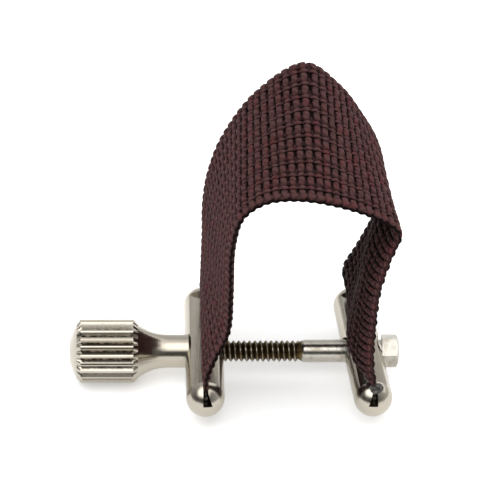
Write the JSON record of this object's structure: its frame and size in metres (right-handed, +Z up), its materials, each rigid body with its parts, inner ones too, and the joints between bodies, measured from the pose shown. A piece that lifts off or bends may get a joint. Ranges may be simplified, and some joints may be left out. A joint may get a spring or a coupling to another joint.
{
  "type": "saxophone ligature",
  "caption": "Woven band ligature: the strap's ends are keyed in slotted metal bars, drawn together round a mouthpiece by a bolt and a fluted thumb knob.",
  "frame": {"origin": "under the middle of the object's box, level with the underside of the knob", "axes": "+X along the bolt from the knob to the hexagon head, +Y along the left bar to the back, +Z up through the band's crown"},
  "size_m": [0.0426, 0.0244, 0.0423],
  "materials": {
    "woven_webbing": "dark maroon woven cord webbing",
    "nickel_plate": "turned brass with bright nickel plate",
    "worn_nickel_plate": "nickel plate worn on the thread's crests",
    "cured_adhesive": "grey cured adhesive"
  },
  "bodies": {
    "bolt": {"bolt": "worn_nickel_plate", "band": "woven_webbing"},
    "right_bar": {"right_bar": "nickel_plate", "right_bond_front": "cured_adhesive", "right_bond_back": "cured_adhesive"},
    "left_bar": {"left_bar": "nickel_plate", "left_bond_front": "cured_adhesive", "left_bond_back": "cured_adhesive"},
    "knob": {"knob": "nickel_plate"}
  },
  "joints": [
    {"name": "right_bar_swivel", "type": "hinge", "parent": "bolt", "child": "right_bar", "pos_m": [0.01667, 0, 0.0041], "axis": [0, 0, 1], "range_deg": [-11, 1], "deforming": ["band"]},
    {"name": "clamp_travel", "type": "slide", "parent": "bolt", "child": "left_bar", "axis": [1, 0, 0], "range_m": [-0.00198, 0.00797], "deforming": ["band"]},
    {"name": "knob_spin", "type": "hinge", "parent": "left_bar", "child": "knob", "pos_m": [-0.01, 0, 0.0041], "axis": [1, 0, 0], "range_deg": [-1020, 4100]}
  ],
  "couplings": [
    {"joint": "knob_spin", "follows": "clamp_travel", "rad_per_m": 8976}
  ]
}
